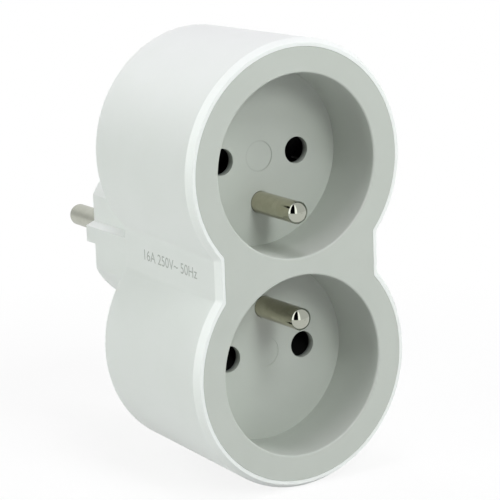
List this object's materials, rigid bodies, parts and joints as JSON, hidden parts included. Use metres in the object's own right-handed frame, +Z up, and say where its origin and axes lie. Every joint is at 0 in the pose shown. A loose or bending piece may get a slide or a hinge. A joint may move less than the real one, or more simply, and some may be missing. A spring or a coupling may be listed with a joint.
{
  "type": "plug adapter",
  "caption": "White socket adapter with a grey face: stacked round wells with pin holes, male earth pins and shutters, on a plug with round pins.",
  "frame": {"origin": "centre of the plug's end face, between the two plug pins", "axes": "+Y out of the plug towards the wall, sockets face -Y, +X across, +Z up along the two sockets"},
  "size_m": [0.0536, 0.0785, 0.0966],
  "materials": {
    "white_shell": "satin moulded thermoplastic",
    "grey_face": "fine matt moulded thermoplastic",
    "carrier_plastic": "black moulded insulator",
    "shutter_plastic": "black moulded acetal",
    "nickel_plate": "polished nickel plate on brass",
    "contact_brass": "stamped bare brass",
    "spring_steel": "drawn spring wire",
    "screw_steel": "zinc plated"
  },
  "bodies": {
    "adapter": {"housing": "white_shell", "front_plate": "grey_face", "contact_carrier": "carrier_plastic", "shutter_spring_upper": "spring_steel", "shutter_spring_lower": "spring_steel", "earth_pin_upper": "nickel_plate", "earth_pin_lower": "nickel_plate", "live_plug_pin": "nickel_plate", "neutral_plug_pin": "nickel_plate", "live_clip_upper": "contact_brass", "live_clip_lower": "contact_brass", "neutral_clip_upper": "contact_brass", "neutral_clip_lower": "contact_brass", "live_busbar": "contact_brass", "neutral_busbar": "contact_brass", "clip_rivets": "contact_brass", "earth_bar": "contact_brass", "earth_link": "contact_brass", "plug_earth_clip": "contact_brass", "case_screws": "screw_steel"},
    "shutter_upper": {"shutter_upper": "shutter_plastic"},
    "shutter_lower": {"shutter_lower": "shutter_plastic"}
  },
  "joints": [
    {"name": "shutter_upper_slide", "type": "slide", "parent": "adapter", "child": "shutter_upper", "axis": [0, 0, 1], "range_m": [0, 0.0064], "stiffness_N_per_m": 150, "springref_m": -0.003, "deforming": ["shutter_spring_upper"]},
    {"name": "shutter_lower_slide", "type": "slide", "parent": "adapter", "child": "shutter_lower", "axis": [0, 0, -1], "range_m": [0, 0.0064], "stiffness_N_per_m": 150, "springref_m": -0.003, "deforming": ["shutter_spring_lower"]}
  ]
}
